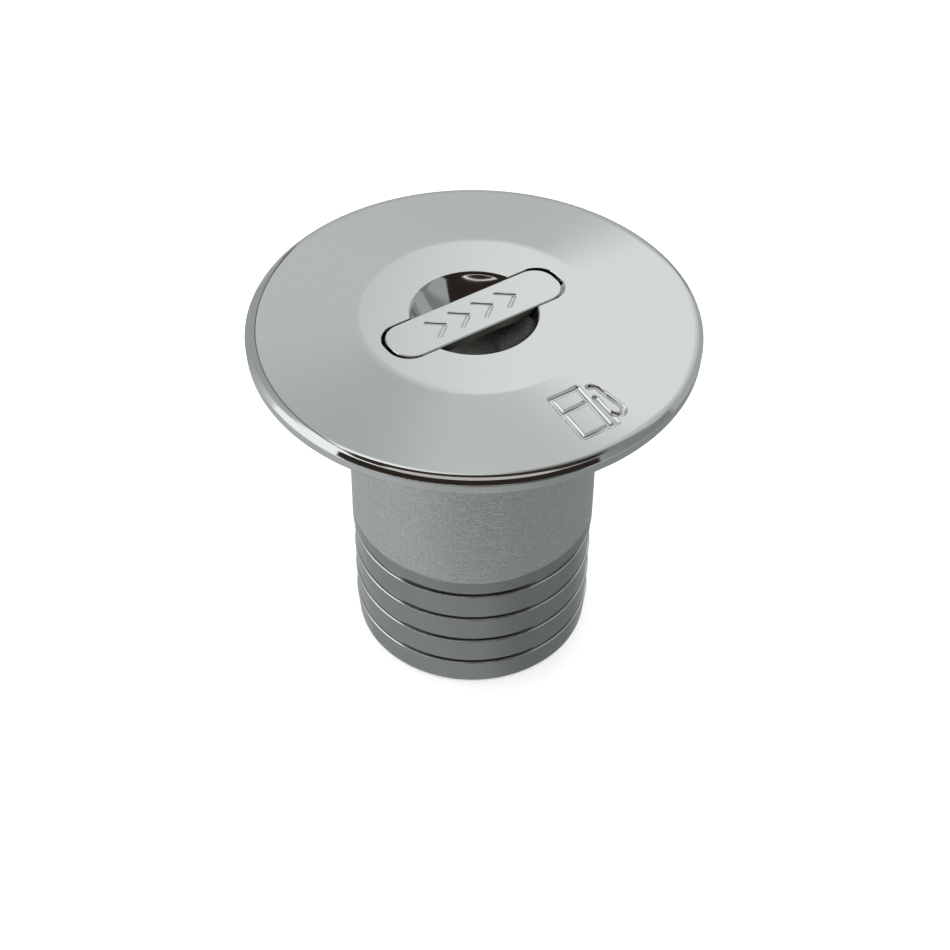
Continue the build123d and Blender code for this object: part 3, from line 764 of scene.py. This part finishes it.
def make_lever():
    bottom_z = PLATEAU_Z - LEVER_THICKNESS
    lever = lever_handle(bottom_z)
    barrel = rod_y("barrel", BARREL_RADIUS, BARREL_HALF_LENGTH, PIN_X, PIN_Z)
    combine(barrel, [block("above_top", (-20, -6, PLATEAU_Z - BARREL_TOP_DROP), (0, 6, PLATEAU_Z + 5))])
    combine(lever, [barrel], "UNION")
    combine(lever, [rod_y("pin_hole", PIN_RADIUS + PIN_PLAY, 8, PIN_X, PIN_Z)])
    marks = groove_cutters(chevron_lines(), lambda r: PLATEAU_Z, CHEVRON_GROOVE_RADIUS, CHEVRON_GROOVE_LIFT)
    combine(lever, marks)
    smooth(lever, 40)
    flatten_top(lever)
    # The lever's underside and the hinge barrel below it get the near-black steel: painted shade under the
    # lever.
    paint(lever, [POLISHED, PAINTED_SHADE_STEEL], lambda face, centre: 1 if centre.z < bottom_z + 0.3 else 0)
    take_place(lever, "lever", "lever_bar")


make_lever()


# ---------------------------------------------------------------- neck and flange

def thread_radius(r, z, angle):
    """Radius of the female thread's wall at a height and an angle. Elsewhere the wall stays as it is."""
    if abs(r - THREAD_ROOT) > 0.001:
        return r
    for turn_number in range(THREAD_TURNS):
        ridge_z = THREAD_START_Z + THREAD_PITCH * (turn_number + angle / (2 * math.pi))
        gap = RIDGE_ROOT_WIDTH / 2 - abs(z - ridge_z)
        if gap > 0:
            flank = (RIDGE_ROOT_WIDTH - RIDGE_CREST_WIDTH) / 2
            return r - (THREAD_ROOT - THREAD_CREST) * min(1.0, gap / flank)
    return r


def neck_outline():
    """(r, z) points of the whole casting from the seat outwards, down, and up through the passage."""
    points = [
        (THREAD_ROOT + PAD_Z - THREAD_TOP_Z, PAD_Z),
        (PAD_RADIUS, PAD_Z),
        (PAD_FOOT_RADIUS, FLANGE_RIM_Z),
        (FLANGE_RADIUS, FLANGE_RIM_Z),
        (FLANGE_RADIUS, 0),
        (NECK_RADIUS, 0),
        (NECK_RADIUS, RIB_LEDGES_Z[0] + RIB_START_RISE),
    ]
    rounds = {3: FLANGE_TOP_ROUND, 4: FLANGE_BOTTOM_ROUND, 5: FLANGE_FILLET}
    for ledge in RIB_LEDGES_Z:
        points.append((RIB_ROOT_RADIUS, ledge + RIB_GROOVE_WIDTH + RIB_GROOVE_BEVEL))
        points.append((RIB_GROOVE_RADIUS, ledge + RIB_GROOVE_WIDTH))
        points.append((RIB_GROOVE_RADIUS, ledge))
        rounds[len(points)] = RIB_EDGE_ROUND
        points.append((RIB_CREST_RADIUS, ledge))
    rounds[len(points)] = NECK_END_ROUND
    points += NECK_END
    points.append((PASSAGE_RADIUS + PASSAGE_BEVEL, NECK_BOTTOM_Z))
    points.append((PASSAGE_RADIUS, NECK_BOTTOM_Z + PASSAGE_BEVEL))
    points.append((PASSAGE_RADIUS, THREAD_BOTTOM_Z - THREAD_ROOT + PASSAGE_RADIUS))
    line = rounded_line(points, rounds)
    thread_height = THREAD_TOP_Z - THREAD_BOTTOM_Z
    for row in range(THREAD_ROWS + 1):
        line.append((THREAD_ROOT, THREAD_BOTTOM_Z + thread_height * row / THREAD_ROWS))
    return line


def screw_hole_cutter(angle):
    """Countersunk hole through the flange, at an angle in degrees."""
    line = [
        (0, -CUT_RUN),
        (SCREW_HOLE_RADIUS, -CUT_RUN),
        (SCREW_HOLE_RADIUS, PAD_Z - SCREW_SINK_DEPTH),
        (SCREW_SINK_RADIUS, PAD_Z + SCREW_SINK_OVER),
        (0, PAD_Z + SCREW_SINK_OVER),
    ]
    cutter = revolve("screw_hole", line, HOLE_SEGMENTS)
    out = Vector((SCREW_CIRCLE_RADIUS * MM, 0, 0))
    out.rotate(Matrix.Rotation(math.radians(angle), 3, "Z"))
    cutter.data.transform(Matrix.Translation(out))
    return cutter


def neck_material(face, centre):
    """0 cast, 1 polished: the flange and the ribs' ledges."""
    on_flange = centre.z > -0.1 and math.hypot(centre.x, centre.y) > NECK_RADIUS + FLANGE_FILLET + 0.2
    on_ledge = centre.z < RIB_LEDGES_Z[0] + 0.1 and face.normal.z > 0.15
    return 1 if on_flange or on_ledge else 0


def make_neck():
    neck = revolve("neck_casting", neck_outline(), NECK_SEGMENTS, thread_radius)
    hole_x, hole_z = LUG_HOLE
    lug = block(
        "lug",
        (-PASSAGE_RADIUS - LUG_ROOT, -LUG_HALF_WIDTH, hole_z - LUG_REACH),
        (hole_x + LUG_REACH, LUG_HALF_WIDTH, hole_z + LUG_REACH),
    )
    combine(neck, [lug], "UNION")
    combine(neck, [rod_y("lug_hole", RING_HOLE_RADIUS, 3, hole_x, hole_z)])
    combine(neck, [screw_hole_cutter(angle) for angle in SCREW_ANGLES])
    smooth_by_area(neck)
    paint(neck, [CAST, POLISHED], neck_material)
    take_place(neck, "neck", "neck_body")


make_neck()


# ---------------------------------------------------------------- floor

FLOOR_REACH = 20000
FLOOR_CORNERS = ((-1, -1), (1, -1), (1, 1), (-1, 1))
floor = new_piece(
    "floor",
    [(x * FLOOR_REACH, y * FLOOR_REACH, NECK_BOTTOM_Z) for x, y in FLOOR_CORNERS],
    [(0, 1, 2, 3)],
)
floor_material, _, _, floor_shader = shader_nodes("pale_floor")
floor_shader.inputs["Base Color"].default_value = (0.93, 0.93, 0.93, 1)
floor_shader.inputs["Roughness"].default_value = 0.9
floor_shader.inputs["Emission Color"].default_value = (1, 1, 1, 1)
floor_shader.inputs["Emission Strength"].default_value = 0.45
floor.data.materials.append(floor_material)
floor.visible_glossy = False


# ---------------------------------------------------------------- studio light

def soft_light(name, aside, away, height, width, depth, power):
    """Area light aimed at the object, placed in millimetres: aside to the right, away from the camera."""
    data = bpy.data.lights.new(name, "AREA")
    data.shape = "RECTANGLE"
    data.size = width * MM
    data.size_y = depth * MM
    data.energy = power
    lamp = bpy.data.objects.new(name, data)
    place = right * aside + level * away + Vector((0, 0, height))
    lamp.location = place * MM
    lamp.rotation_euler = (-place).to_track_quat("-Z", "Y").to_euler()
    lamp.visible_glossy = False
    bpy.context.scene.collection.objects.link(lamp)


soft_light("overhead_fill", aside=0, away=0, height=1500, width=2600, depth=2600, power=38)

# Tints of the surroundings.
WHITE = (0.965, 1.0, 0.985)
DARK_BROWN = (1.25, 0.95, 0.80)
COOL = (0.93, 0.99, 1.0)
WARM = (1.0, 0.96, 0.92)
LAMP = (1.0, 0.97, 0.95)


class Studio:
    """The surroundings that the polished metal reflects: layers of brightness by direction.

    aside, away and up are the parts of a direction to the camera's right, away from it and straight up.
    degrees is 0 level and away from the camera, 90 straight up and 180 level behind the camera, and it is
    negative below the horizon. Each step's two numbers are where a layer begins and where it is full.
    """

    def __init__(self):
        world = bpy.data.worlds.new("studio")
        world.use_nodes = True
        bpy.context.scene.world = world
        self.nodes = world.node_tree.nodes
        self.links = world.node_tree.links
        self.direction = self.nodes.new("ShaderNodeTexCoord").outputs["Generated"]
        self.aside = self.part_along(right)
        self.away = self.part_along(level)
        self.up = self.part_along(Vector((0, 0, 1)))
        self.turned = self.math("ARCTAN2", self.up, self.away)
        self.degrees = self.math("MULTIPLY", self.turned, 180 / math.pi)
        self.above = self.step(self.up, -0.03, 0.03)
        self.below = self.step(self.up, 0.03, -0.03)
        self.light = None

    def part_along(self, axis):
        """Dot product of the direction with an axis."""
        node = self.nodes.new("ShaderNodeVectorMath")
        node.operation = "DOT_PRODUCT"
        node.inputs[1].default_value = axis
        self.links.new(self.direction, node.inputs[0])
        return node.outputs["Value"]

    def math(self, operation, a, b=0.0):
        """One math node. a and b are sockets or numbers."""
        node = self.nodes.new("ShaderNodeMath")
        node.operation = operation
        for socket, value in zip(node.inputs, (a, b)):
            if isinstance(value, (int, float)):
                socket.default_value = value
            else:
                self.links.new(value, socket)
        return node.outputs["Value"]

    def plane(self, aside, away, up):
        """Weighted sum of the direction's three parts."""
        axis = right * aside + level * away + Vector((0, 0, up))
        return self.part_along(axis)

    def squared_offset(self, value, centre, reach):
        """Square of the distance from a centre, counted in reaches."""
        offset = self.math("DIVIDE", self.math("SUBTRACT", value, centre), reach)
        return self.math("POWER", offset, 2.0)

    def step(self, value, start, end):
        """0 before start, 1 after end, smooth between. start may be the larger."""
        node = self.nodes.new("ShaderNodeMapRange")
        node.interpolation_type = "SMOOTHSTEP"
        node.inputs["From Min"].default_value = start
        node.inputs["From Max"].default_value = end
        self.links.new(value, node.inputs["Value"])
        return node.outputs["Result"]

    def all_of(self, *masks):
        """Mask where all the masks are 1."""
        result = masks[0]
        for mask in masks[1:]:
            result = self.math("MULTIPLY", result, mask)
        return result

    def any_of(self, *masks):
        """Mask where one of the masks is 1."""
        result = masks[0]
        for mask in masks[1:]:
            result = self.math("MAXIMUM", result, mask)
        return result

    def cover(self, brightness, tint, mask):
        """Lays an even patch over what is there, where the mask is 1."""
        node = self.nodes.new("ShaderNodeMix")
        node.data_type = "RGBA"
        self.links.new(mask, node.inputs[0])
        self.links.new(self.light, node.inputs[6])
        node.inputs[7].default_value = (*[brightness * part for part in tint], 1)
        self.light = node.outputs[2]

    def bands(self, stops):
        """First layer: brightness by degrees alone. stops are (degrees, brightness)."""
        node = self.nodes.new("ShaderNodeValToRGB")
        elements = node.color_ramp.elements
        elements.remove(elements[1])
        for index, (degrees, brightness) in enumerate(stops):
            position = 0.5 + degrees / 360
            element = elements[0] if index == 0 else elements.new(position)
            element.position = position
            element.color = (*[brightness * part for part in WHITE], 1)
        arc = self.math("MULTIPLY", self.turned, 0.5 / math.pi)
        self.links.new(self.math("ADD", arc, 0.5), node.inputs["Fac"])
        self.light = node.outputs["Color"]


def add_far_lamp(studio):
    """Big soft lamp beyond the object, a little to the right: it lights the plateau and the right side."""
    back_edge = studio.math("ADD", studio.degrees, studio.math("MULTIPLY", studio.aside, 50.0))
    glow = studio.all_of(
        studio.step(studio.aside, -0.12, 0.04),
        studio.step(back_edge, 28, 39),
        studio.step(studio.degrees, 58, 50),
    )
    studio.cover(0.84, WHITE, glow)


def add_floor_and_walls(studio):
    aside, away = studio.aside, studio.away
    shaded_floor = studio.all_of(studio.step(aside, 0.0, 0.55), studio.below)
    studio.cover(0.28, COOL, shaded_floor)
    left_floor = studio.all_of(studio.step(aside, -0.1, -0.6), studio.below)
    studio.cover(0.47, COOL, left_floor)
    right_wall = studio.all_of(studio.step(aside, 0.30, 0.60), studio.above)
    studio.cover(0.44, COOL, right_wall)
    dim_left = studio.all_of(studio.step(aside, -0.02, -0.20), studio.step(away, 0.78, 0.50), studio.above)
    studio.cover(0.45, COOL, dim_left)
    left_wall = studio.all_of(studio.step(aside, -0.33, -0.345), studio.above)
    studio.cover(0.38, COOL, left_wall)


def add_softbox(studio):
    """White softbox at the left, bright towards the camera and fading away from it, and its seam overhead."""
    aside, away, degrees = studio.aside, studio.away, studio.degrees
    softbox = studio.all_of(
        studio.step(away, 0.64, -0.10),
        studio.step(aside, -0.10, -0.24),
        studio.step(studio.up, 0.04, 0.20),
    )
    studio.cover(1.15, WHITE, softbox)
    high = studio.all_of(studio.step(degrees, 59.5, 65), studio.above)
    studio.cover(1.05, WHITE, studio.all_of(high, studio.step(aside, 0.0, -0.14)))
    high_right = studio.all_of(high, studio.step(aside, -0.02, 0.13), studio.step(degrees, 112, 88))
    studio.cover(0.25, COOL, high_right)
    seam = studio.all_of(
        studio.step(aside, -0.30, -0.308),
        studio.step(aside, -0.345, -0.338),
        studio.step(away, 0.28, 0.42),
        studio.above,
    )
    studio.cover(0.15, WHITE, seam)


def add_dark_room(studio):
    """Dark room on the camera's side. Slanted planes part it from the softbox and the right wall.

    It reaches further forward overhead towards its sides.
    """
    aside = studio.aside
    left_open = studio.step(studio.plane(-1.7, 1.0, -0.12), 0.84, 0.86)
    right_open = studio.step(studio.plane(3.1, 1.0, -0.12), 1.53, 1.57)
    open_side = studio.any_of(left_open, right_open)
    widening = studio.math("MULTIPLY", studio.math("ABSOLUTE", aside), -0.38)
    room = studio.all_of(
        studio.math("SUBTRACT", 1.0, open_side),
        studio.step(studio.math("ADD", studio.away, widening), -0.225, -0.255),
        studio.step(studio.degrees, 168, 160),
        studio.step(aside, -0.95, -0.85),
        studio.above,
    )
    studio.cover(0.022, DARK_BROWN, room)


def add_dark_below(studio):
    """Shade straight under the object, and dark floor low behind the camera."""
    aside, degrees = studio.aside, studio.degrees
    under = studio.all_of(
        studio.step(degrees, -100, -94),
        studio.step(degrees, -60, -66),
        studio.step(aside, -0.50, -0.40),
        studio.step(aside, 0.50, 0.40),
    )
    studio.cover(0.10, DARK_BROWN, under)
    low_room = studio.all_of(
        studio.below,
        studio.step(degrees, -144, -150),
        studio.step(aside, -0.62, -0.55),
        studio.step(aside, 0.62, 0.55),
    )
    studio.cover(0.03, DARK_BROWN, low_room)


def add_overhead(studio):
    """Bright ceiling straight above, and a dark beam on the far side of it."""
    aside, degrees = studio.aside, studio.degrees
    overhead = studio.all_of(studio.step(aside, -0.34, -0.31), studio.step(aside, 0.35, 0.32), studio.above)
    ceiling = studio.all_of(studio.step(degrees, 76.5, 77.5), studio.step(degrees, 104, 102))
    studio.cover(0.55, WARM, studio.all_of(overhead, ceiling))
    beam = studio.all_of(studio.step(degrees, 67.5, 68.5), studio.step(degrees, 77.0, 76.0))
    studio.cover(0.03, DARK_BROWN, studio.all_of(overhead, beam))


def add_ring_lamp(studio):
    """Ring lamp behind the camera."""
    across = studio.squared_offset(studio.aside, -0.15, 0.46)
    along = studio.squared_offset(studio.degrees, 149, 8)
    spread = studio.math("ADD", across, along)
    ring = studio.all_of(studio.step(spread, 0.55, 0.70), studio.step(spread, 1.15, 1.0))
    studio.cover(0.95, LAMP, ring)


def make_studio():
    """Lays the layers in order: each one hides what lies under it."""
    studio = Studio()
    studio.bands(
        [
            (-180, 0.30), (-140, 0.34), (-120, 0.46), (-90, 0.56), (-60, 0.50), (0, 0.42),
            (14, 0.52), (27, 0.58), (57, 0.58), (62, 0.64), (68, 0.74), (90, 0.60), (180, 0.30),
        ]
    )
    add_far_lamp(studio)
    add_floor_and_walls(studio)
    add_softbox(studio)
    add_dark_room(studio)
    add_dark_below(studio)
    add_overhead(studio)
    add_ring_lamp(studio)
    background = studio.nodes["Background"]
    studio.links.new(studio.light, background.inputs["Color"])


make_studio()
bpy.context.scene.view_settings.view_transform = "Standard"
